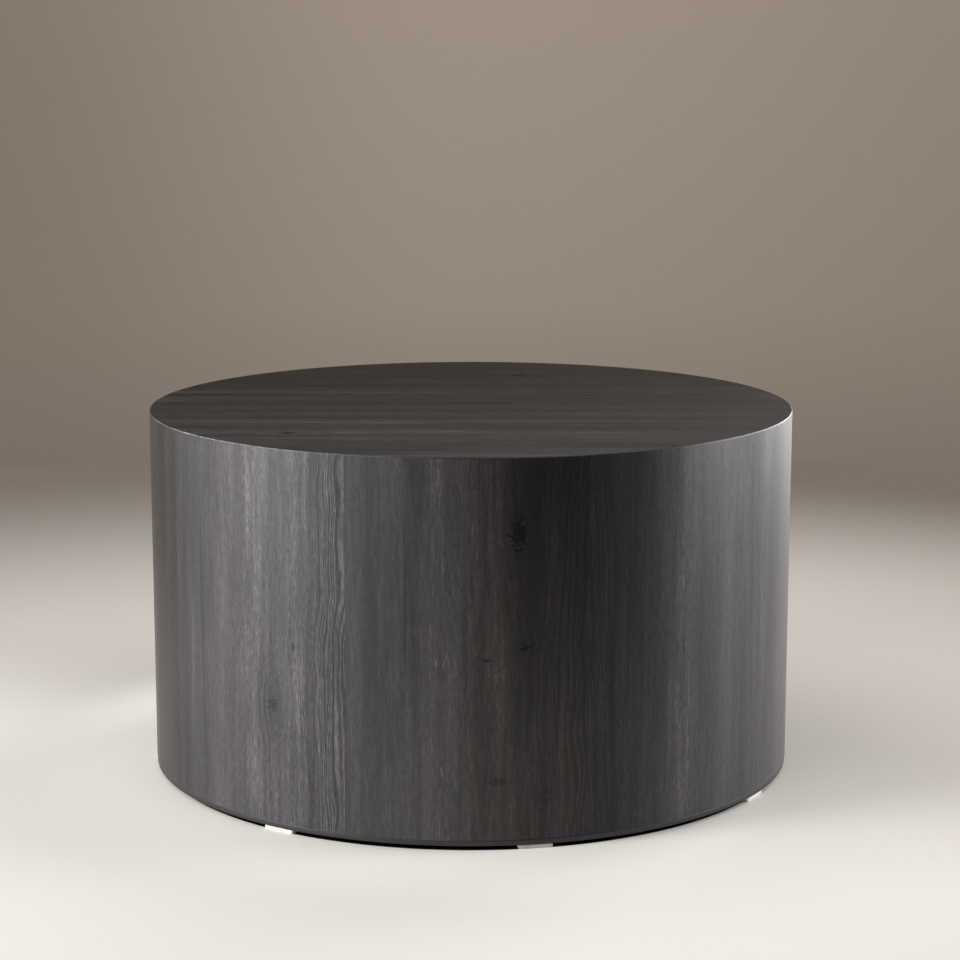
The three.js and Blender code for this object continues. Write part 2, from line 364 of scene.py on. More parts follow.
# %% Leaves
TABLE_RADIUS = cad_high.x
TABLE_TOP = cad_high.z
SEAM_DEGREES = -0.7
LEAVES_ROUND = 18
LEAF_DEGREES = 360 / LEAVES_ROUND
LEAF_LAYERS = ("leaf_cut", "leaf_look", "leaf_marks")
MERGE_UNDER = millimetres(0.001)  # points closer than this are one

# Each side leaf, from the back seam round by the left, the front and the right: where the pith lies
# across the leaf from its left edge, how far behind the veneer it is, and the width of a ring, in
# mm. Then how strongly its figure shows, the tone and warmth of the stain, and how many ray flecks
# it has.
SIDE_LEAVES = [
    (60, 30, 3.4, 0.9, 1.00, 0.5, 0.0),
    (-60, 20, 2.6, 0.6, 0.95, 0.3, 0.3),
    (155, 30, 3.6, 1.0, 1.05, 0.4, 0.0),
    (240, 15, 2.4, 0.5, 0.97, 0.3, 0.0),
    (-40, 30, 3.0, 0.6, 1.03, 0.3, 0.0),
    (220, 24, 3.0, 0.5, 0.98, 0.35, 0.0),
    (-70, 24, 2.8, 0.4, 1.00, 0.15, 0.0),
    (172, 26, 3.0, 1.0, 1.00, 0.15, 0.0),
    (300, 10, 2.3, 0.3, 1.00, 0.3, 1.0),
    (148, 30, 3.0, 0.6, 1.00, 0.7, 0.0),
    (-50, 30, 3.4, 0.9, 1.00, 0.2, 0.0),
    (210, 26, 3.2, 0.35, 1.00, 0.0, 0.0),
    (-150, 20, 2.8, 0.4, 1.00, 0.0, 0.0),
    (150, 28, 3.4, 1.0, 1.04, 0.3, 0.0),
    (-100, 18, 2.5, 0.5, 0.96, 0.5, 0.5),
    (-15, 28, 3.2, 0.9, 1.03, 0.6, 0.0),
    (230, 16, 2.6, 0.5, 0.97, 0.4, 0.0),
    (160, 26, 3.0, 0.9, 1.02, 0.5, 0.0),
]

# Each leaf of the top, from the front to the back, with the same values, and the pith counted from
# the leaf's front edge.
TOP_JOINTS_MM = [-318, -158, 2, 162, 322]
TOP_LEAVES = [
    (-60, 20, 3.4, 0.4, 1.00, 0.60, 0.0),
    (210, 26, 3.0, 0.5, 1.03, 0.70, 0.0),
    (-70, 16, 2.8, 0.5, 0.98, 0.75, 0.0),
    (84, 30, 3.6, 0.65, 1.02, 0.75, 0.0),
    (250, 20, 2.6, 0.5, 1.00, 0.80, 0.0),
    (-90, 24, 3.0, 0.5, 0.98, 0.80, 0.0),
]
# The tone at the top's front end, at each joint and at its back end: painted light and shade, lighter
# at the front and darker at the back.
TOP_PAINTED_LIGHT = [3.0, 2.6, 1.7, 1.15, 0.95, 0.75, 0.7]

# The tone of the rounded edge, by degrees from the front: a painted highlight, lighter at the sides
# where the lamps catch the edge.
ARRIS_PAINTED_HIGHLIGHT = [
    (-180, 4),
    (-75, 4),
    (-55, 9),
    (-30, 8),
    (-16, 2),
    (36, 1),
    (44, 9),
    (54, 15),
    (66, 5),
    (180, 4),
]

# Painted light and shade round the side: degrees from the front, and the tone near the top edge
# and near the bottom edge. It is lighter where the lamps' bright bands fall and darkest at the
# front, where it grows lighter towards the bottom, and it changes slowly between the rows.
SIDE_PAINTED_LIGHT = [
    (-180, 0.9, 0.9),
    (-150, 0.8, 0.9),
    (-120, 1.0, 0.9),
    (-80, 0.7, 0.7),
    (-57, 0.8, 0.7),
    (-41, 2.2, 2.2),
    (-31, 0.8, 1.5),
    (-20, 1.1, 1.4),
    (-1, 1.1, 1.2),
    (5, 0.5, 0.7),
    (15, 0.1, 0.5),
    (24, 0.2, 0.3),
    (31, 0.3, 0.6),
    (38, 1.0, 1.1),
    (52, 1.8, 1.1),
    (65, 0.5, 1.1),
    (80, 0.7, 0.8),
    (100, 0.9, 0.9),
    (130, 0.8, 0.9),
    (155, 1.0, 0.9),
    (180, 0.9, 0.9),
]
print("leaves round the side:", len(SIDE_LEAVES), "leaves of the top:", len(TOP_LEAVES))

# %% Helpers that lay the veneer on a piece
def from_front(point):
    """The angle of a point round the table, in radians from the front to the right."""
    return math.atan2(point.x, -point.y)


def near_turn(angle, middle):
    """The same angle, counted so that it lies within half a turn of the middle."""
    return middle + math.remainder(angle - middle, math.tau)


def read_off(rows, point):
    """Reads a table's values at a point, between its rows. Each row starts with degrees."""
    degrees = math.degrees(from_front(point))
    for (left, *left_values), (right, *right_values) in zip(rows, rows[1:]):
        if left <= degrees <= right:
            share = (degrees - left) / (right - left)
            return [a + (b - a) * share for a, b in zip(left_values, right_values)]
    return rows[-1][1:]


def painted_light_at(point):
    """The painted light and shade at a point of the side."""
    top, bottom = read_off(SIDE_PAINTED_LIGHT, point)
    return bottom + (top - bottom) * point.z / TABLE_TOP


def store_leaf(shape, face, leaf, edge_across, seed):
    """Writes a leaf's cut, look and marks on one of its faces."""
    pith, depth, ring, figure, tone, warmth, flecks = leaf
    pith_across = edge_across + millimetres(pith)
    values = (
        (pith_across, millimetres(depth), millimetres(ring)),
        (tone, warmth, seed),
        (figure, flecks, edge_across),
    )
    for name, value in zip(LEAF_LAYERS, values):
        face[shape.faces.layers.float_vector[name]] = value


def open_layers(shape):
    """Adds the layers that the oak reads: the leaf's attributes, a UV map along the grain and the
    painted light and shade at each corner. Gives the last two."""
    for name in LEAF_LAYERS:
        shape.faces.layers.float_vector.new(name)
    return shape.loops.layers.uv.new("grain"), shape.loops.layers.float.new("stain_and_painted_light")


def lay_side_veneer(shape, middle_degrees):
    """Lays upright leaves round a wall: across the grain is the way round, along it the height."""
    uv, stain_and_painted_light = open_layers(shape)
    middle = math.radians(middle_degrees)
    first_edge = math.radians(SEAM_DEGREES - 180)
    for face in shape.faces:
        centre = near_turn(from_front(face.calc_center_median()), middle)
        for loop in face.loops:
            angle = near_turn(from_front(loop.vert.co), centre)
            loop[uv].uv = (angle * TABLE_RADIUS, loop.vert.co.z)
            # Each corner carries the side's painted light and shade.
            loop[stain_and_painted_light] = painted_light_at(loop.vert.co)
        number = math.floor((centre - first_edge) / math.radians(LEAF_DEGREES))
        edge = (first_edge + number * math.radians(LEAF_DEGREES)) * TABLE_RADIUS
        store_leaf(shape, face, SIDE_LEAVES[number % LEAVES_ROUND], edge, number)


def lay_top_veneer(shape):
    """Cuts a top into leaves that run from left to right, from the front to the back."""
    joints = [millimetres(joint) for joint in TOP_JOINTS_MM]
    ends = [-TABLE_RADIUS, *joints, TABLE_RADIUS]
    for joint in joints:
        everything = shape.verts[:] + shape.edges[:] + shape.faces[:]
        bmesh.ops.bisect_plane(
            shape, geom=everything, dist=MERGE_UNDER, plane_co=(0, joint, 0), plane_no=(0, 1, 0)
        )
    uv, stain_and_painted_light = open_layers(shape)
    for face in shape.faces:
        middle = face.calc_center_median()
        # Faces on the rounded edge get the painted highlight instead of the top's tone.
        arris_with_painted_highlight = math.hypot(middle.x, middle.y) > TABLE_RADIUS - ARRIS
        number = sum(middle.y > joint for joint in joints)
        near, far = ends[number : number + 2]
        near_tone, far_tone = TOP_PAINTED_LIGHT[number : number + 2]
        for loop in face.loops:
            place = loop.vert.co
            loop[uv].uv = (place.y, place.x)
            # Each corner carries the top's painted light and shade, or on the rounded edge its
            # painted highlight.
            share = (place.y - near) / (far - near)
            painted_tone = near_tone + (far_tone - near_tone) * share
            loop[stain_and_painted_light] = read_off(ARRIS_PAINTED_HIGHLIGHT, place)[0] if arris_with_painted_highlight else painted_tone
        store_leaf(shape, face, TOP_LEAVES[number], near, LEAVES_ROUND)


# %% Helpers for noise, sums and distances
def streaks(tree, place, sizes_mm, detail):
    """Noise in spots or streaks that are about as long as the sizes say, along X, Y and Z."""
    counts = [1 / millimetres(size) for size in sizes_mm]
    drawn_out = add(tree, "ShaderNodeVectorMath", {0: place, 1: counts}, operation="MULTIPLY")
    return add(tree, "ShaderNodeTexNoise", {"Vector": drawn_out, "Scale": 1, "Detail": detail})


def blend_of(tree, start, parts):
    """Adds parts, each a socket and its share, to a starting value."""
    total = start
    for socket, share in parts:
        total = add(
            tree, "ShaderNodeMath", {0: socket, 1: share, 2: total}, operation="MULTIPLY_ADD"
        )
    return total


def how_far(tree, offset, half_size):
    """How far out an offset lies, where 1 is the edge of a round patch of this half size."""
    scaled = add(tree, "ShaderNodeVectorMath", {0: offset, 1: half_size}, operation="DIVIDE")
    return add(tree, "ShaderNodeVectorMath", {0: scaled}, out="Value", operation="LENGTH")


# %% [markdown]
# ## Knots
# The tree's wood flows round a knot as water flows round a stone. To draw that, each point's place
# is pushed away from the middle of the knot before the rings are counted, which bends the lines
# outwards. The knot's own wood is darker, and the large one has dried out and cracked.

# %% Knots
# Each knot on the side: its place as degrees from the front and height in mm, its half width and
# half height in mm, how dark it is, how crumbled it is, and how far it pushes the grain aside.
SIDE_KNOTS = [
    (7.7, 365, 11, 20, 1.0, 0.8, 0.7),
    (8.7, 237, 7, 2.6, 1.0, 0.35, 0.6),
    (8.5, 243, 2, 8, 0.35, 0.4, 0.0),
    (2.5, 221, 4.5, 1.8, 0.7, 0.4, 0.4),
    (-30.4, 224, 3.5, 5.5, 0.5, 0.5, 0.7),
    (-34.8, 151, 10, 8, 0.4, 1.0, 0.8),
    (4.6, 81, 15, 5, 0.35, 1.0, 0.0),
    (11.2, 58, 9, 14, 0.3, 1.0, 0.8),
    (118, 300, 9, 13, 0.9, 0.8, 0.8),
    (171, 140, 8, 12, 0.9, 0.9, 0.8),
    (-131, 210, 8, 10, 0.9, 0.8, 0.8),
    (-152, 330, 4, 4, 0.8, 0.2, 0.7),
    (96, 120, 4, 5, 0.7, 0.2, 0.7),
]
# Each knot on the top, with its place to the right of and behind the middle, in mm.
TOP_KNOTS = [
    (188, 74, 22, 40, 0.0, 0.0, 0.7),
    (-214, -226, 9, 12, 0.6, 0.5, 0.8),
    (64, 262, 8, 11, 0.6, 0.5, 0.8),
]
KNOT_REACH = 3.4
KNOT_TALL = 2.2  # the grain parts well above and below a knot
KNOT_EDGE = (1.2, 0.4)  # a knot's wood starts and is full this far out, where 1 is its half size
CRUMBLE = 4.0
CRUMB_MM = (5.5, 4, 1000)


def flow_round(tree, place, centre, half_size, push):
    """Pushes places away from a knot. Gives the new places, how far out in the knot each one lies
    (1 is its edge), and how close to it."""
    tall = (half_size[0], half_size[1] * KNOT_TALL, 1)
    offset = add(tree, "ShaderNodeVectorMath", {0: place, 1: centre}, operation="SUBTRACT")
    near = stepped(tree, 1, [(how_far(tree, offset, tall), KNOT_REACH, 0)])
    share = add(tree, "ShaderNodeMath", {0: near, 1: -push}, operation="MULTIPLY")
    moved = add(tree, "ShaderNodeVectorMath", {0: offset, "Scale": share}, operation="SCALE")
    pushed = add(tree, "ShaderNodeVectorMath", {0: place, 1: moved}, operation="ADD")
    return pushed, how_far(tree, offset, half_size), near


def knots_in(tree, flat, knots):
    """Bends the places round all knots. Gives them with the darkness of the knots' own wood, which
    noise eats into from the edge, and of the wood close by."""
    crumbs = streaks(tree, flat, CRUMB_MM, 3)
    place, knot_wood, halo = flat, 0, 0
    for centre, half_size, dark, crumbled, push in knots:
        place, outward, near = flow_round(tree, place, centre, half_size, push)
        eaten = blend_of(tree, outward, [(crumbs, CRUMBLE * crumbled)])
        first, last = (edge + CRUMBLE * crumbled / 2 for edge in KNOT_EDGE)
        inside = stepped(tree, dark, [(eaten, first, last)])
        near = add(tree, "ShaderNodeMath", {0: near, 1: dark}, operation="MULTIPLY")
        knot_wood, halo = (
            add(tree, "ShaderNodeMath", {0: new, 1: old}, operation="MAXIMUM")
            for new, old in ((inside, knot_wood), (near, halo))
        )
    return place, knot_wood, halo


# %% [markdown]
# ## Black-stained oak
# Sliced oak veneer, stained black and sealed with satin lacquer. The stain sinks into the soft
# early wood and the pores, which turn nearly black, and the dense late wood between them stays a
# dark grey. Oak's pores are open: the lacquer sinks into them and leaves fine dull dashes in its
# shine. So the shine is a coat over the wood, and the coat is thin where the grain is open. Where
# the knife met the log's rays, pale flecks wander across the grain.

# %% The figure of the growth rings
SEED_STEP = 7.3
APART_MM = 1000  # each leaf's noise lies this far from the next leaf's, times the step above
# How far lines stray across the grain, in slow and in quick bends: the bends' size and reach in mm.
BENDS = [((80, 380, APART_MM), 9), ((22, 75, APART_MM), 3)]
ARCH_BENDS = ((150, 180, APART_MM), 5)  # the same for the depth of the pith
TAPER = 0.02
UNEVEN_RINGS = 4.4  # how far noise shifts the count, so that rings are wide and narrow in turn
UNEVEN_SCALE = 0.31
LATE_WOOD_STEPS = ((0, 0.5), (1, 0.7))  # late wood grows slowly through a ring and ends sharply
FIGURE_FULL_MM = 55
FIGURE_GONE_MM = 105
FIGURE_LEAST = 0.15


def bend(tree, place, sizes_mm, reach_mm, detail=1):
    """A length that swings about 0 from place to place and reaches about so many mm."""
    reach = millimetres(reach_mm * 2)
    swing = streaks(tree, place, sizes_mm, detail)
    return add(tree, "ShaderNodeMapRange", {"Value": swing, "To Min": -reach, "To Max": reach})


def growth_rings(tree, grain, cut):
    """Counts the rings at each place of a leaf. Gives 0 in early wood and 1 in late wood, and how
    well that shows: far from the pith the rings stand on edge and are too close to tell apart."""
    here = add(tree, "ShaderNodeSeparateXYZ", {"Vector": grain}).node.outputs
    across = add(tree, "ShaderNodeMath", {0: here["X"], 1: cut["X"]}, operation="SUBTRACT")
    across = blend_of(tree, across, [(bend(tree, grain, *row), 1) for row in BENDS])
    arch = bend(tree, grain, *ARCH_BENDS)
    depth = blend_of(tree, cut["Y"], [(here["Y"], TAPER), (arch, 1)])
    slice_point = add(tree, "ShaderNodeCombineXYZ", {"X": across, "Y": depth})
    radius = add(tree, "ShaderNodeVectorMath", {0: slice_point}, out="Value", operation="LENGTH")
    rings = add(tree, "ShaderNodeMath", {0: radius, 1: cut["Z"]}, operation="DIVIDE")
    uneven = add(
        tree,
        "ShaderNodeTexNoise",
        {"W": rings, "Scale": UNEVEN_SCALE, "Detail": 1},
        noise_dimensions="1D",
    )
    rings = blend_of(tree, rings, [(uneven, UNEVEN_RINGS)])
    share = add(tree, "ShaderNodeMath", {0: rings}, operation="FRACT")
    late_wood = stepped(tree, 1, [(share, *step) for step in LATE_WOOD_STEPS])
    shown = add(
        tree,
        "ShaderNodeMapRange",
        {
            "Value": radius,
            "From Min": millimetres(FIGURE_GONE_MM),
            "From Max": millimetres(FIGURE_FULL_MM),
            "To Min": FIGURE_LEAST,
        },
        interpolation_type="SMOOTHSTEP",
    )
    return late_wood, shown


# %% Pores and ray flecks
PORE_MM = (1.3, 11, APART_MM)  # real pores are about 0.3 mm wide, too fine for a pixel of 1.1 mm
PORE_NOISE = (0.54, 0.68)  # the noise at which a pore starts and is full, as in the two below
FLECK_MM = (1.3, 14, APART_MM)
FLECK_NOISE = (0.71, 0.78)
FLECK_PATCH_MM = (30, 70, APART_MM)
FLECK_PATCH_NOISE = (0.45, 0.6)
FLECK_SWAY_MM = 5
FLECK_SWAY_SIZES_MM = (30, 34, APART_MM)
FLECKS_AT_MM = (92, 104)  # from a leaf's edge


def pore_dashes(tree, grain, late_wood):
    """Is 1 in a pore. Early wood has more of them than late wood."""
    first, last = PORE_NOISE
    dashes = streaks(tree, grain, PORE_MM, 1)
    dashes = add(tree, "ShaderNodeMapRange", {"Value": dashes, "From Min": first, "From Max": last})
    share = add(tree, "ShaderNodeMapRange", {"Value": late_wood, "To Min": 1, "To Max": 0.5})
    return add(tree, "ShaderNodeMath", {0: dashes, 1: share}, operation="MULTIPLY")


def ray_flecks(tree, grain, from_edge, amount):
    """Is 1 in a ray fleck. They lie in the right part of a leaf and sway from side to side."""
    sway = bend(tree, grain, FLECK_SWAY_SIZES_MM, FLECK_SWAY_MM, detail=0)
    swayed = add(
        tree,
        "ShaderNodeVectorMath",
        {0: grain, 1: add(tree, "ShaderNodeCombineXYZ", {"X": sway})},
        operation="ADD",
    )
    return stepped(
        tree,
        amount,
        [
            (streaks(tree, swayed, FLECK_MM, 0), *FLECK_NOISE),
            (streaks(tree, grain, FLECK_PATCH_MM, 0), *FLECK_PATCH_NOISE),
            (from_edge, *map(millimetres, FLECKS_AT_MM)),
        ],
    )


# %% Dark streaks
# Long mineral streaks on the side: degrees from the front, lowest and highest point and width in
# mm, and how dark each is.
SIDE_STREAKS = [
    (-10.6, 170, 400, 3.0, 0.35),
    (-35.5, 20, 190, 3.5, 0.30),
    (-52.0, 60, 460, 6.0, 0.25),
    (23.2, 60, 330, 3.0, 0.30),
    (26.5, 120, 460, 3.5, 0.30),
    (29.0, 20, 300, 2.5, 0.30),
    (41.5, 100, 460, 4.0, 0.20),
    (104.0, 40, 380, 3.5, 0.30),
    (146.0, 120, 460, 3.0, 0.30),
    (-98.0, 20, 260, 3.5, 0.30),
    (-163.0, 80, 420, 4.0, 0.30),
]
STREAK_EDGE = (1.2, 0.1)  # a streak starts and is full this far out, where 1 is its half size


def streak_shade(tree, grain, rows):
    """Is the darkness of long streaks. A row is a middle, a half size in metres and a darkness."""
    total = 0
    for middle, half_size, dark in rows:
        offset = add(tree, "ShaderNodeVectorMath", {0: grain, 1: middle}, operation="SUBTRACT")
        shade = stepped(tree, dark, [(how_far(tree, offset, half_size), *STREAK_EDGE)])
        total = add(tree, "ShaderNodeMath", {0: shade, 1: total}, operation="MAXIMUM")
    return total


# %% The oak material
STAIN_STOPS = [(0, "#0c0c0c"), (0.35, "#1c1b1b"), (0.65, "#302f2e"), (1, "#575655")]
COOL_TINT = (0.95, 0.90, 1.09, 1)
WARM_TINT = (1.15, 0.92, 0.84, 1)
KNOT_COLOUR = "#050505"
RING_SHARE = 0.5
CALM_SHARE = 0.35
# Strokes along the fibres: their size in mm, the detail of their noise and their share.
FIBRE_STROKES = [
    ((2.0, 16, APART_MM), 2, 0.75), ((1.4, 6, APART_MM), 1, 0.55), ((7, 120, APART_MM), 3, 0.9)
]
BROAD_MM = (34, 700, APART_MM)
BROAD_SHARE = 0.7
PORE_SHARE = 0.25
FLECK_SHARE = 0.24
JOINT_SHARE = 0.1
HALO_SHARE = 0.1
JOINT_EDGE_MM = (0.9, 0.3)  # how far from a leaf's edge the joint's line starts and is full
RING_RELIEF_MM = 0.09
FIBRE_RELIEF_MM = 0.12
KNOT_RELIEF_MM = -0.2
LACQUER_LEAST = 0.66
LACQUER_MOST = 1.1
SHINE_AT_NO_TONE = 0.3  # the coat shines this share where the tone is 0; it follows the leaf's own tone and the painted light and shade
FULL_SHINE_TONE = 1.3
WOOD_ROUGHNESS = 0.6
WOOD_SHINE = 0.2
LACQUER_ROUGHNESS = 0.4
OAK_IOR = 1.5


def fibres_of(tree, grain, pores, strength):
    """Swings about 0 along the fibres: the finest part of the figure, in strokes of three sizes."""
    parts = [(pores, -PORE_SHARE)]
    total = 0
    for size_mm, detail, share in FIBRE_STROKES:
        parts.append((streaks(tree, grain, size_mm, detail), share))
        total += share
    fibres = blend_of(tree, -total / 2, parts)
    strength = add(tree, "ShaderNodeMapRange", {"Value": strength, "To Min": CALM_SHARE})
    return add(tree, "ShaderNodeMath", {0: fibres, 1: strength}, operation="MULTIPLY")


def oak_veneer(name, knots, dark_streaks):
    """Makes the oak. A knot is a centre and half size in metres, how dark and crumbled it is, and
    its push."""
    material, tree = empty_material(name)
    flat = add(tree, "ShaderNodeUVMap", uv_map="grain")
    place, knot_wood, halo = knots_in(tree, flat, knots)
    leaf_cut, look, marks = (
        add(
            tree,
            "ShaderNodeSeparateXYZ",
            {"Vector": add(tree, "ShaderNodeAttribute", out="Vector", attribute_name=layer)},
        ).node.outputs
        for layer in LEAF_LAYERS
    )
    # The tone is the leaf's own tone times the painted light and shade stored at each corner.
    painted_light_here = add(tree, "ShaderNodeAttribute", out="Fac", attribute_name="stain_and_painted_light")
    tone = add(tree, "ShaderNodeMath", {0: look["X"], 1: painted_light_here}, operation="MULTIPLY")
    seed = add(tree, "ShaderNodeMath", {0: look["Z"], 1: SEED_STEP}, operation="MULTIPLY")
    own_place = add(tree, "ShaderNodeCombineXYZ", {"Z": seed})
    grain = add(tree, "ShaderNodeVectorMath", {0: place, 1: own_place}, operation="ADD")
    from_edge = add(tree, "ShaderNodeSeparateXYZ", {"Vector": flat})
    from_edge = add(tree, "ShaderNodeMath", {0: from_edge, 1: marks["Z"]}, operation="SUBTRACT")

    late_wood, shown = growth_rings(tree, grain, leaf_cut)
    pores = pore_dashes(tree, grain, late_wood)
    figured = add(tree, "ShaderNodeMath", {0: late_wood, 1: -0.5}, operation="ADD")
    for share in (marks["X"], shown):
        figured = add(tree, "ShaderNodeMath", {0: figured, 1: share}, operation="MULTIPLY")
    flecks = ray_flecks(tree, grain, from_edge, marks["Y"])
    fibres = fibres_of(tree, grain, pores, marks["X"])
    broad = streaks(tree, grain, BROAD_MM, 1)
    streaked = streak_shade(tree, place, dark_streaks)
    first, last = map(millimetres, JOINT_EDGE_MM)
    joint = add(
        tree, "ShaderNodeMapRange", {"Value": from_edge, "From Min": first, "From Max": last}
    )
    value = blend_of(
        tree,
        0.5 - BROAD_SHARE / 2,
        [
            (fibres, 1),
            (figured, RING_SHARE),
            (broad, BROAD_SHARE),
            (flecks, FLECK_SHARE),
            (joint, -JOINT_SHARE),
            (halo, -HALO_SHARE),
            (streaked, -1),
        ],
    )

    stain_and_painted_light = add(tree, "ShaderNodeValToRGB", {"Fac": value}, stops=STAIN_STOPS)
    tint = add(tree, "ShaderNodeMix", {0: look["Y"], 6: COOL_TINT, 7: WARM_TINT}, **COLOUR_MIX)
    tinted = add(tree, "ShaderNodeVectorMath", {0: stain_and_painted_light, 1: tint}, operation="MULTIPLY")
    toned = add(tree, "ShaderNodeVectorMath", {0: tinted, "Scale": tone}, operation="SCALE")
    colour = add(
        tree, "ShaderNodeMix", {0: knot_wood, 6: toned, 7: linear(KNOT_COLOUR)}, **COLOUR_MIX
    )
    relief_mm = blend_of(
        tree,
        0.0,
        [(figured, RING_RELIEF_MM), (fibres, FIBRE_RELIEF_MM), (knot_wood, KNOT_RELIEF_MM)],
    )
    surface = add(
        tree, "ShaderNodeBump", {"Height": relief_mm, "Strength": 1, "Distance": millimetres(1)}
    )
    lacquer = add(
        tree,
        "ShaderNodeMapRange",
        {"Value": value, "To Min": LACQUER_LEAST, "To Max": LACQUER_MOST},
    )
    sound = add(tree, "ShaderNodeMath", {0: 1, 1: knot_wood}, operation="SUBTRACT")
    # The coat's shine follows the tone, the leaf's own and the painted light, so painted light also
    # paints the lacquer's highlights.
    shine_by_tone_and_painted_light = add(
        tree,
        "ShaderNodeMapRange",
        {"Value": tone, "From Max": FULL_SHINE_TONE, "To Min": SHINE_AT_NO_TONE},
    )
    for share in (sound, shine_by_tone_and_painted_light):
        lacquer = add(tree, "ShaderNodeMath", {0: lacquer, 1: share}, operation="MULTIPLY")
    lacquered = add(
        tree,
        "ShaderNodeBsdfPrincipled",
        {
            "Base Color": colour,
            "Roughness": WOOD_ROUGHNESS,
            "IOR": OAK_IOR,
            "Specular IOR Level": WOOD_SHINE,
            "Normal": surface,
            "Coat Weight": lacquer,
            "Coat Roughness": LACQUER_ROUGHNESS,
            "Coat Normal": surface,
        },
    )
    add(tree, "ShaderNodeOutputMaterial", {"Surface": lacquered})
    return material


# %% Make the oak for the side and for the top
def knot_in_metres(centre, half_across, half_along, *rest):
    """Turns a knot's row into the form that the oak material reads."""
    return (centre, (millimetres(half_across), millimetres(half_along), 1), *rest)


side_knots = [
    knot_in_metres((math.radians(degrees) * TABLE_RADIUS, millimetres(up), 0), *rest)
    for degrees, up, *rest in SIDE_KNOTS
]
top_knots = [
    knot_in_metres((millimetres(behind), millimetres(right), 0), *rest)
    for right, behind, *rest in TOP_KNOTS
]
side_streaks = [
    (
        (math.radians(degrees) * TABLE_RADIUS, millimetres(low + high) / 2, 0),
        (millimetres(width) / 2, millimetres(high - low) / 2, 1),
        dark,
    )
    for degrees, low, high, width, dark in SIDE_STREAKS
]
side_oak = oak_veneer("side_oak_veneer_black_stained_satin", side_knots, side_streaks)
top_oak = oak_veneer("top_oak_veneer_black_stained_satin", top_knots, [])
print("oak nodes:", len(side_oak.node_tree.nodes), "and", len(top_oak.node_tree.nodes))

# %% [markdown]
# ## Turned pieces
# The veneer, the top and the base ring are round, so each is one small outline spun about the
# table's axis. Spinning is the plain way to a true round with even faces. The steps are counted so
# that the joints between the veneer's leaves fall on an edge.

# %% Helpers for turned pieces
ROUND_STEPS = 360
SMOOTH_UNDER = math.radians(30)


def spun(outline, start_degrees=0, sweep_degrees=360, steps=ROUND_STEPS):
    """Spins an outline of (radius, height) points about the table's axis, from an angle on. In a
    full turn, an outline that starts on the axis stays open there, because the spin closes it."""
    shape = bmesh.new()
    start = math.radians(start_degrees - 90)
    corners = [
        shape.verts.new((radius * math.cos(start), radius * math.sin(start), height))
        for radius, height in outline
    ]
    whole = sweep_degrees == 360
    if whole:
        ends = list(zip(corners, corners[1:]))
        if outline[0][0] > 0:
            ends.append((corners[-1], corners[0]))
        for pair in ends:
            shape.edges.new(pair)
    else:
        shape.faces.new(corners)
    bmesh.ops.spin(
        shape,
        geom=shape.verts[:] + shape.edges[:] + shape.faces[:],
        cent=(0, 0, 0),
        axis=(0, 0, 1),
        angle=math.radians(sweep_degrees),
        steps=round(steps * sweep_degrees / 360),
        use_merge=whole,
    )
    bmesh.ops.remove_doubles(shape, verts=shape.verts, dist=MERGE_UNDER)
    bmesh.ops.recalc_face_normals(shape, faces=shape.faces)
    return shape


def rounded_corner(radius, height, size, first_degrees, steps=4):
    """Points of a quarter round whose square corner would lie at this radius and height."""
    turns = [math.radians(first_degrees + 90 * i / steps) for i in range(steps + 1)]
    middle = math.radians(first_degrees + 45)
    centre_radius = radius - math.copysign(size, math.cos(middle))
    centre_height = height - math.copysign(size, math.sin(middle))
    return [(centre_radius + size * math.cos(t), centre_height + size * math.sin(t)) for t in turns]


def make_piece(name, shape, material, replaced):
    """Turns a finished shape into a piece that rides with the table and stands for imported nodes."""
    for edge in shape.edges:
        edge.smooth = len(edge.link_faces) == 2 and edge.calc_face_angle() < SMOOTH_UNDER
    for face in shape.faces:
        face.smooth = True
    mesh = bpy.data.meshes.new(name)
    shape.to_mesh(mesh)
    shape.free()
    mesh.materials.append(material)
    piece = bpy.data.objects.new(name, mesh)
    bpy.context.scene.collection.objects.link(piece)
    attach(piece, "root")
    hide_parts(replaced)
    print(name, "faces:", len(mesh.polygons), "stands for", replaced)
    return piece


# %% Side veneer
VENEER = millimetres(1)
side_low, side_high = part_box("side_veneer_left")

for name, start, node in (
    ("oak_side_right", SEAM_DEGREES, "side_veneer_right"),
    ("oak_side_left", SEAM_DEGREES - 180, "side_veneer_left"),
):
    wall = spun(
        [
            (TABLE_RADIUS - VENEER, side_low.z),
            (TABLE_RADIUS, side_low.z),
            (TABLE_RADIUS, side_high.z),
            (TABLE_RADIUS - VENEER, side_high.z),
        ],
        start,
        180,
    )
    lay_side_veneer(wall, start + 90)
    make_piece(name, wall, side_oak, node)

# %% [markdown]
# ## Top veneer
# The top's veneer goes on last and covers the end of the side's, and its edge is sanded to a small
# round. That round catches the light as a fine bright line, and a painted highlight on it makes the
# line brighter at the sides, where the lamps fall. An outline is spun for the rim, and one flat face
# closes it above and below, which is cleaner than a fan of slivers that meet in the middle. A narrow
# flat band inside the rim keeps the shading of the big face level.

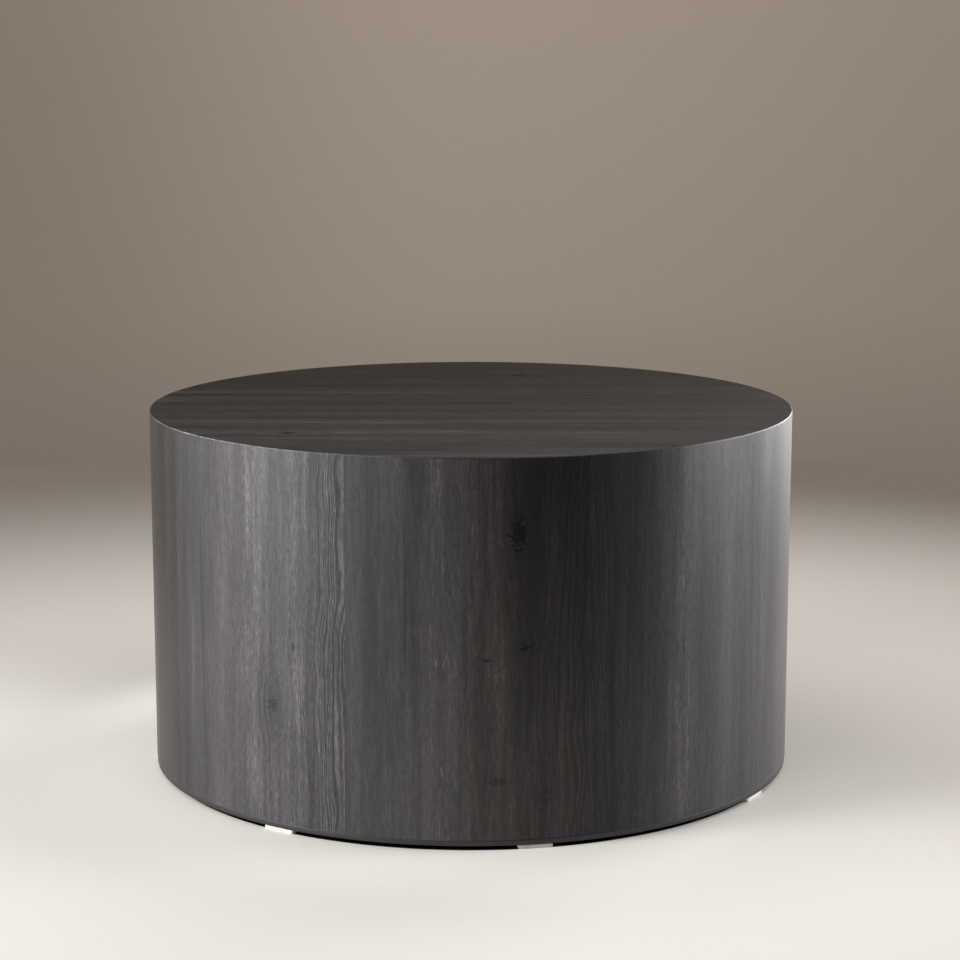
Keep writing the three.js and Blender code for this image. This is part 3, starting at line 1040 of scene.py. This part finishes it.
# %% Top veneer
ARRIS = millimetres(0.8)
LEVEL_BAND = millimetres(3)
top_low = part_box("top_veneer")[0]
rim = [(TABLE_RADIUS - ARRIS - LEVEL_BAND, top_low.z), (TABLE_RADIUS, top_low.z)]
rim += rounded_corner(TABLE_RADIUS, TABLE_TOP, ARRIS, 0)
rim += [(TABLE_RADIUS - ARRIS - LEVEL_BAND, TABLE_TOP)]
top = spun(rim)
inner_wall = [
    face
    for face in top.faces
    if all(math.hypot(v.co.x, v.co.y) < TABLE_RADIUS - ARRIS - LEVEL_BAND / 2 for v in face.verts)
]
bmesh.ops.delete(top, geom=inner_wall, context="FACES")
bmesh.ops.holes_fill(top, edges=top.edges, sides=0)
bmesh.ops.recalc_face_normals(top, faces=top.faces)
lay_top_veneer(top)
make_piece("oak_top", top, top_oak, "top_veneer")

# %% [markdown]
# ## Base ring
# A thin board under the rim, cut to a ring, with its edge just inside the veneer and eight
# countersunk screws from below. It is stained black and left matt, so it is darker and smoother
# than the veneer beside it. The ring is spun like the rest, and one Boolean takes out all eight
# holes, which keeps the faces round each hole exact.

# %% Helper that cuts holes
def with_holes(shape, cutters):
    """Takes the cutters out of a shape and gives the result."""
    pair = []
    for name, solid in (("blank", shape), ("cutters", cutters)):
        mesh = bpy.data.meshes.new(name)
        solid.to_mesh(mesh)
        solid.free()
        pair.append(bpy.data.objects.new(name, mesh))
        bpy.context.scene.collection.objects.link(pair[-1])
    cut = pair[0].modifiers.new("holes", "BOOLEAN")
    cut.object = pair[1]
    cut.operation = "DIFFERENCE"
    cut.solver = "EXACT"
    result = bmesh.new()
    result.from_object(pair[0], bpy.context.evaluated_depsgraph_get())
    for helper in pair:
        bpy.data.meshes.remove(helper.data)
    return result


# %% Helpers for plain finishes
PLAIN_IOR = 1.5


def two_patterns(tree, fine, coarse, shares, stops):
    """Shades a ramp's colours with two patterns, each its sizes in mm and the detail of its noise.
    Gives the patterns, their sum and the colour."""
    place = add(tree, "ShaderNodeTexCoord", out="Object")
    patterns = [streaks(tree, place, *pattern) for pattern in (fine, coarse)]
    value = blend_of(tree, 0.5 - sum(shares) / 2, zip(patterns, shares))
    return patterns, value, add(tree, "ShaderNodeValToRGB", {"Fac": value}, stops=stops)


def surface_with(tree, relief, relief_mm, inputs):
    """Ends a material with a surface that stands up by so many mm where its relief is 1."""
    depth = millimetres(relief_mm)
    bumps = add(tree, "ShaderNodeBump", {"Height": relief, "Strength": 1, "Distance": depth})
    shader = add(tree, "ShaderNodeBsdfPrincipled", {"IOR": PLAIN_IOR, "Normal": bumps, **inputs})
    add(tree, "ShaderNodeOutputMaterial", {"Surface": shader})


# %% Black-stained board
BOARD_STOPS = [(0, "#171514"), (1, "#292624")]
BOARD_GRAIN_MM = (90, 1.6, 1.6)
BOARD_BLOTCH_MM = (60, 60, 60)
BOARD_SMOOTHEST = 0.42
BOARD_ROUGHEST = 0.56
BOARD_RELIEF_MM = 0.08

black_board, tree = empty_material("poplar_board_stained_black_matt")
(fibres, _), _, colour = two_patterns(
    tree, (BOARD_GRAIN_MM, 3), (BOARD_BLOTCH_MM, 2), (0.7, 0.7), BOARD_STOPS
)
roughness = add(
    tree,
    "ShaderNodeMapRange",
    {"Value": fibres, "To Min": BOARD_SMOOTHEST, "To Max": BOARD_ROUGHEST},
)
surface_with(tree, fibres, BOARD_RELIEF_MM, {"Base Color": colour, "Roughness": roughness})
print("made", black_board.name)

# %% Base ring
RING_ROUND = millimetres(0.9)
HOLE_STEPS = 48
HOLE_SLACK = millimetres(0.3)
SCREW_SHANK = millimetres(3.5)
SCREW_RIM = millimetres(0.4)
NUMBERS = range(1, 9)  # of the glides, studs, dowels and screws

ring_low, ring_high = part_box("base_ring")
ring_outer = ring_high.x
ring_inner = min(math.hypot(v.co.x, v.co.y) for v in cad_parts["base_ring"].data.vertices)
outline = []
for radius, corner_height, first in (
    (ring_outer, ring_low.z, -90),
    (ring_outer, ring_high.z, 0),
    (ring_inner, ring_high.z, 90),
    (ring_inner, ring_low.z, 180),
):
    outline += rounded_corner(radius, corner_height, RING_ROUND, first)
ring = spun(outline)

cutters = bmesh.new()
for number in NUMBERS:
    screw_low, screw_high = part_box(f"base_screw_{number}")
    centre = (screw_low + screw_high) / 2
    head = (screw_high.x - screw_low.x) / 2 + HOLE_SLACK
    shank = SCREW_SHANK / 2 + HOLE_SLACK
    cone_start = ring_low.z + SCREW_RIM
    cutter = spun(
        [
            (0, ring_low.z - RING_ROUND),
            (head, ring_low.z - RING_ROUND),
            (head, cone_start),
            (shank, cone_start + head - shank),
            (shank, ring_high.z + RING_ROUND),
            (0, ring_high.z + RING_ROUND),
        ],
        steps=HOLE_STEPS,
    )
    bmesh.ops.translate(cutter, verts=cutter.verts, vec=(centre.x, centre.y, 0))
    one = bpy.data.meshes.new("cutter")
    cutter.to_mesh(one)
    cutter.free()
    cutters.from_mesh(one)
    bpy.data.meshes.remove(one)
make_piece(
    "black_base_ring", with_holes(ring, cutters), black_board, "base_ring"
)

# %% [markdown]
# ## Felt glides
# Eight pads of white pressed felt, stuck under the ring near its edge. They were cut from a sheet
# with a knife, so their sides are straight and their corners a little round, and the fibres stand
# up all over. Those at the front and the left are greyer, in painted shade: the front one sits in
# the shadow under the rim, and the left one would catch too much of the strong left lamp. A block
# is bevelled, divided finely and pressed in by noise, so that its outline is as uneven as felt's.

# %% Felt
FELT_STOPS = [(0.3, "#c9c6bd"), (0.7, "#e9e6de")]
SHADED_FELT_STOPS = [(0.3, "#94918a"), (0.7, "#b1aea7")]
FELT_FIBRE_MM = (1.2, 1.2, 1.2)
FELT_CLUMP_MM = (6, 6, 6)
FELT_RELIEF_MM = 0.5
FELT_SURFACE = {
    "Roughness": 0.95,
    "Specular IOR Level": 0.2,
    "Sheen Weight": 0.4,
    "Sheen Roughness": 0.5,
}


def pressed_felt(name, stops):
    """Makes felt from two colours: fibres in all directions, gathered in small clumps."""
    material, tree = empty_material(name)
    (fibres, _), _, colour = two_patterns(
        tree, (FELT_FIBRE_MM, 4), (FELT_CLUMP_MM, 2), (0.6, 0.6), stops
    )
    surface_with(tree, fibres, FELT_RELIEF_MM, {"Base Color": colour, **FELT_SURFACE})
    return material


white_felt = pressed_felt("pressed_wool_felt_white", FELT_STOPS)
shaded_felt = pressed_felt("pressed_wool_felt_painted_shade", SHADED_FELT_STOPS)
print("made", white_felt.name, "and", shaded_felt.name)

# %% Glides
GLIDE_LENGTH = millimetres(40)
GLIDE_WIDTH = millimetres(30)
GLIDE_CORNER = millimetres(2)
GLIDE_EDGE = millimetres(0.5)
GLIDE_CUTS = 23
FELT_UNEVEN = millimetres(0.35)
FELT_LUMPS_PER_METRE = 320
SHADED_GLIDES = (1, 7)

for number in NUMBERS:
    node = f"glide_{number}"
    glide_low, glide_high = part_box(node)
    centre = (glide_low + glide_high) / 2
    pad = bmesh.new()
    bmesh.ops.create_cube(pad, size=1)
    bmesh.ops.scale(
        pad, verts=pad.verts, vec=(GLIDE_LENGTH, GLIDE_WIDTH, glide_high.z - glide_low.z)
    )
    for upright, offset, segments in ((True, GLIDE_CORNER, 4), (False, GLIDE_EDGE, 2)):
        edges = [e for e in pad.edges if (e.verts[0].co.z != e.verts[1].co.z) == upright]
        bmesh.ops.bevel(
            pad,
            geom=edges,
            offset=offset,
            segments=segments,
            profile=0.5,
            affect="EDGES",
            material=-1,
        )
    for axis, cuts, span in ((0, GLIDE_CUTS, GLIDE_LENGTH), (1, GLIDE_CUTS, GLIDE_WIDTH)):
        for i in range(1, cuts + 1):
            at = [0, 0, 0]
            across = [0, 0, 0]
            at[axis] = span * (i / (cuts + 1) - 0.5)
            across[axis] = 1
            everything = pad.verts[:] + pad.edges[:] + pad.faces[:]
            bmesh.ops.bisect_plane(
                pad, geom=everything, dist=MERGE_UNDER, plane_co=at, plane_no=across
            )
    turn = from_front(centre)
    bmesh.ops.rotate(pad, verts=pad.verts, cent=(0, 0, 0), matrix=Matrix.Rotation(turn, 3, "Z"))
    bmesh.ops.translate(pad, verts=pad.verts, vec=centre)
    pad.normal_update()
    for vert in pad.verts:
        lump = (noise.noise(vert.co * FELT_LUMPS_PER_METRE) + 1) / 2
        vert.co -= vert.normal * FELT_UNEVEN * lump
    # The glides at the front and the left get the felt with painted shade.
    felt = shaded_felt if number in SHADED_GLIDES else white_felt
    make_piece(f"felt_glide_{number}", pad, felt, node)

# %% [markdown]
# ## Inside the drum
# From below, the drum shows the woods that it is built from: bent birch plywood round the wall, two
# plywood rings, softwood studs between them and the fibreboard of the top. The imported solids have
# the right shape for these plain boards, so each keeps its node and only gets its finish. Plywood
# is drawn from its make-up: on its faces the grain runs along, and on its edges its plies show one
# by one.

# %% Raw woods
PLY_MM = 1.5
BIRCH_STOPS = [(0.2, "#c9a777"), (0.8, "#e6cda4")]
BIRCH_EDGE_STOPS = [(0.35, "#8a6238"), (0.65, "#dcc096")]
PINE_STOPS = [(0.25, "#b98c53"), (0.75, "#e6cc9c")]
BEECH_STOPS = [(0.25, "#a97a50"), (0.75, "#d9b184")]
FIBREBOARD_STOPS = [(0.25, "#94714a"), (0.75, "#b99a70")]
LONG_MM = 220
RAW_ROUGHEST = 0.7
RAW_SMOOTHEST = 0.55
RAW_RELIEF_MM = 0.15
RAW_IOR = 1.45


def raw_wood(name, stops, grain_mm, fleck_mm, plies=""):
    """Makes a bare wood. The sizes draw its grain out, and plies count along Z or the radius."""
    material, tree = empty_material(name)
    (_, flecks), value, colour = two_patterns(tree, (grain_mm, 3), (fleck_mm, 2), (0.7, 0.5), stops)
    if plies:
        shared = add(tree, "ShaderNodeTexCoord").node.outputs
        flat = add(tree, "ShaderNodeSeparateXYZ", {"Vector": shared["Object"]}).node.outputs
        level = add(tree, "ShaderNodeCombineXYZ", {"X": flat["X"], "Y": flat["Y"]})
        radius = add(tree, "ShaderNodeVectorMath", {0: level}, out="Value", operation="LENGTH")
        depth = flat["Z"] if plies == "flat" else radius
        per_metre = math.pi / millimetres(PLY_MM)
        swing = add(tree, "ShaderNodeMath", {0: depth, 1: per_metre}, operation="MULTIPLY")
        swing = add(tree, "ShaderNodeMath", {0: swing}, operation="SINE")
        swing = blend_of(tree, 0.25, [(swing, 0.5), (flecks, 0.5)])
        edge_colour = add(tree, "ShaderNodeValToRGB", {"Fac": swing}, stops=BIRCH_EDGE_STOPS)
        facing = add(tree, "ShaderNodeSeparateXYZ", {"Vector": shared["Normal"]}, out="Z")
        facing = add(tree, "ShaderNodeMath", {0: facing}, operation="ABSOLUTE")
        side = "LESS_THAN" if plies == "flat" else "GREATER_THAN"
        steep = add(tree, "ShaderNodeMath", {0: facing, 1: 0.5}, operation=side)
        colour = add(tree, "ShaderNodeMix", {0: steep, 6: colour, 7: edge_colour}, **COLOUR_MIX)
    roughness = add(
        tree,
        "ShaderNodeMapRange",
        {"Value": value, "To Min": RAW_ROUGHEST, "To Max": RAW_SMOOTHEST},
    )
    bare = {"Base Color": colour, "Roughness": roughness, "IOR": RAW_IOR}
    surface_with(tree, value, RAW_RELIEF_MM, bare)
    return material


bent_birch, flat_birch, pine, beech, fibreboard = (
    raw_wood(*row)
    for row in (
        ("bent_birch_plywood_raw", BIRCH_STOPS, (5, 5, LONG_MM), (1.5, 1.5, 25), "bent"),
        ("flat_birch_plywood_raw", BIRCH_STOPS, (LONG_MM, 5, 5), (25, 1.5, 1.5), "flat"),
        ("planed_pine_raw", PINE_STOPS, (3, 3, 400), (1.2, 1.2, 60)),
        ("turned_beech_raw", BEECH_STOPS, (2.5, 2.5, 60), (1, 1, 4)),
        ("medium_density_fibreboard_raw", FIBREBOARD_STOPS, (30, 30, 30), (1.5, 1.5, 1.5)),
    )
)

# %% Bright zinc plate
ZINC_STOPS = [(0.3, "#aeb4b8"), (0.7, "#cfd4d6")]
ZINC_CLOUD_MM = (2.5, 2.5, 2.5)
ZINC_SMOOTHEST = 0.22
ZINC_ROUGHEST = 0.38

zinc, tree = empty_material("steel_bright_zinc_plated")
place = add(tree, "ShaderNodeTexCoord", out="Object")
clouds = streaks(tree, place, ZINC_CLOUD_MM, 2)
colour = add(tree, "ShaderNodeValToRGB", {"Fac": clouds}, stops=ZINC_STOPS)
roughness = add(
    tree, "ShaderNodeMapRange", {"Value": clouds, "To Min": ZINC_SMOOTHEST, "To Max": ZINC_ROUGHEST}
)
plated = add(
    tree, "ShaderNodeBsdfPrincipled", {"Base Color": colour, "Metallic": 1, "Roughness": roughness}
)
add(tree, "ShaderNodeOutputMaterial", {"Surface": plated})

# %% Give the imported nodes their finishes
FINISHES = [
    (fibreboard, ["top_panel"]),
    (bent_birch, ["shell_front", "shell_back", "shell_tongue_left", "shell_tongue_right"]),
    (flat_birch, ["upper_former", "lower_former"]),
    (pine, [f"stud_{number}" for number in NUMBERS]),
    (beech, [f"{end}_dowel_{number}" for end in ("lower", "upper") for number in NUMBERS]),
    (zinc, [f"{end}_screw_{number}" for end in ("top", "base") for number in NUMBERS]),
]
for finish, nodes in FINISHES:
    for node in nodes:
        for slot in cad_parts[node].material_slots:
            slot.material = finish
    print(finish.name, "on", len(nodes), "packed nodes")
